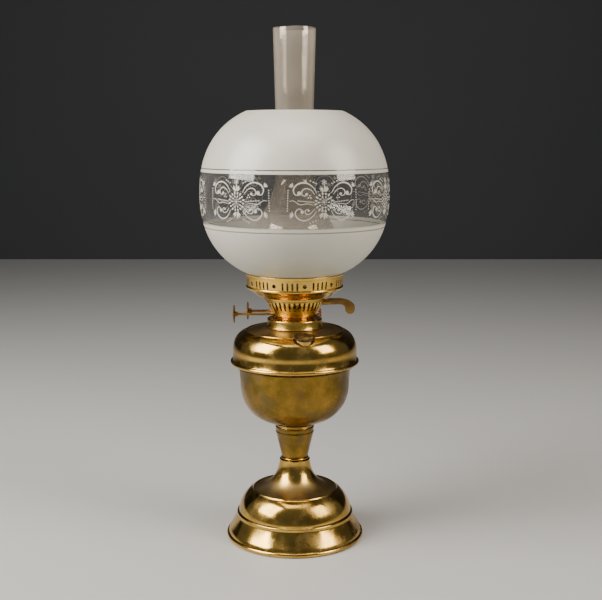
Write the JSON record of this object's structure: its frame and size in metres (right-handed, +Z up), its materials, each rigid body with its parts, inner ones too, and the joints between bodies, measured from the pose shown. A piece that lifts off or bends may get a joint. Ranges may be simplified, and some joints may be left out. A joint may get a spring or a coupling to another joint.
{
  "type": "oil lamp",
  "caption": "Tall brass paraffin lamp with pedestal foot, round oil font, twin flat-wick burner, clear chimney and etched frosted globe shade.",
  "frame": {"origin": "centre of the foot's rim where it stands on the table", "axes": "+Z up along the lamp's axis, -Y towards the front, the side of the filler cap; the winders point to -X and the extinguisher lever to +X"},
  "size_m": [0.2, 0.2, 0.545],
  "materials": {
    "polished_brass": "polished, lightly tarnished",
    "gold_brass": "lacquered gold, satin",
    "old_brass": "darkened, worn",
    "copper": "reddened by heat",
    "tarnished_brass": "dark tarnish",
    "black_iron": "as cast, blackened",
    "steel": "plain, dull",
    "leather": "oiled",
    "cotton": "woven tape",
    "smoked_glass": "clear, faintly smoky",
    "frosted_glass": "acid frosted with a clear etched band"
  },
  "bodies": {
    "lamp_body": {"foot_shell": "polished_brass", "foot_ballast": "black_iron", "tie_rod": "steel", "tie_washer_lower": "steel", "tie_nut_lower": "steel", "tie_washer_upper": "steel", "tie_nut_upper": "steel", "stem_lower_ring": "polished_brass", "stem_taper": "polished_brass", "stem_upper_ring": "polished_brass", "bowl_seat": "polished_brass", "font_bowl": "polished_brass", "font_dome": "polished_brass", "font_collar": "polished_brass", "filler_neck": "polished_brass"},
    "filler_washer": {"filler_gasket": "leather"},
    "filler_cap": {"filler_cap": "tarnished_brass"},
    "burner_washer": {"burner_gasket": "leather"},
    "burner": {"burner_nipple": "gold_brass", "burner_floor": "gold_brass", "burner_basket": "gold_brass", "air_diffuser": "gold_brass", "wick_tube_front": "gold_brass", "wick_tube_rear": "gold_brass", "lever_bracket_front": "gold_brass", "lever_bracket_rear": "gold_brass", "lever_pin": "steel"},
    "winder_front": {"winder_spindle_front": "old_brass", "winder_knob_front": "old_brass", "winder_wheel_front_1": "old_brass", "winder_wheel_front_2": "old_brass", "winder_stop_front": "copper"},
    "winder_rear": {"winder_spindle_rear": "old_brass", "winder_knob_rear": "old_brass", "winder_wheel_rear_1": "old_brass", "winder_wheel_rear_2": "old_brass", "winder_stop_rear": "copper"},
    "wick_front": {"wick_front": "cotton"},
    "wick_rear": {"wick_rear": "cotton"},
    "extinguisher": {"extinguisher_lever": "old_brass"},
    "snuffers": {"snuffer_front": "gold_brass", "snuffer_rear": "gold_brass", "snuffer_bridge": "gold_brass"},
    "gallery": {"gallery": "polished_brass", "chimney_seat": "polished_brass", "seat_plate": "polished_brass", "chimney_prong_1": "polished_brass", "chimney_prong_2": "polished_brass", "chimney_prong_3": "polished_brass", "chimney_prong_4": "polished_brass", "flame_dome": "polished_brass"},
    "chimney": {"chimney": "smoked_glass"},
    "globe": {"globe": "frosted_glass"}
  },
  "joints": [
    {"name": "filler_cap_lift", "type": "slide", "parent": "lamp_body", "child": "filler_washer", "axis": [0.0312, -0.1622, 0.9863], "range_m": [0, 0.0053]},
    {"name": "filler_cap_turn", "type": "hinge", "parent": "filler_washer", "child": "filler_cap", "pos_m": [0.0102, -0.053, 0.22869], "axis": [0.0312, -0.1622, 0.9863], "range_deg": [0, 1080]},
    {"name": "burner_lift", "type": "slide", "parent": "lamp_body", "child": "burner_washer", "axis": [0, 0, 1], "range_m": [0, 0.0055]},
    {"name": "burner_turn", "type": "hinge", "parent": "burner_washer", "child": "burner", "pos_m": [0, 0, 0.24265], "axis": [0, 0, 1], "range_deg": [0, 1080]},
    {"name": "winder_front_turn", "type": "hinge", "parent": "burner", "child": "winder_front", "pos_m": [0, -0.0106, 0.24785], "axis": [1, 0, 0], "range_deg": [-170, 110]},
    {"name": "winder_rear_turn", "type": "hinge", "parent": "burner", "child": "winder_rear", "pos_m": [0, 0.0106, 0.24785], "axis": [1, 0, 0], "range_deg": [-110, 170]},
    {"name": "wick_front_raise", "type": "slide", "parent": "burner", "child": "wick_front", "axis": [0, 0, 1], "range_m": [-0.012, 0.0078]},
    {"name": "wick_rear_raise", "type": "slide", "parent": "burner", "child": "wick_rear", "axis": [0, 0, 1], "range_m": [-0.012, 0.0078]},
    {"name": "extinguisher_press", "type": "hinge", "parent": "burner", "child": "extinguisher", "pos_m": [0.0262, 0, 0.25845], "axis": [0, 1, 0], "range_deg": [0, 22], "stiffness_Nm_per_rad": 0.012, "springref_deg": -20.05},
    {"name": "snuffers_raise", "type": "slide", "parent": "burner", "child": "snuffers", "axis": [0, 0, 1], "range_m": [0, 0.0037]},
    {"name": "gallery_lift", "type": "slide", "parent": "burner", "child": "gallery", "axis": [0, 0, 1], "range_m": [0, 0.04]},
    {"name": "chimney_lift", "type": "slide", "parent": "gallery", "child": "chimney", "axis": [0, 0, 1], "range_m": [0, 0.05]},
    {"name": "globe_lift", "type": "slide", "parent": "gallery", "child": "globe", "axis": [0, 0, 1], "range_m": [0, 0.05]}
  ],
  "couplings": [
    {"joint": "filler_cap_lift", "follows": "filler_cap_turn", "m_per_rad": 0.00027852},
    {"joint": "burner_lift", "follows": "burner_turn", "m_per_rad": 0.00028648},
    {"joint": "wick_front_raise", "follows": "winder_front_turn", "m_per_rad": 0.004},
    {"joint": "wick_rear_raise", "follows": "winder_rear_turn", "m_per_rad": -0.004},
    {"joint": "snuffers_raise", "follows": "extinguisher_press", "m_per_rad": 0.0095}
  ]
}
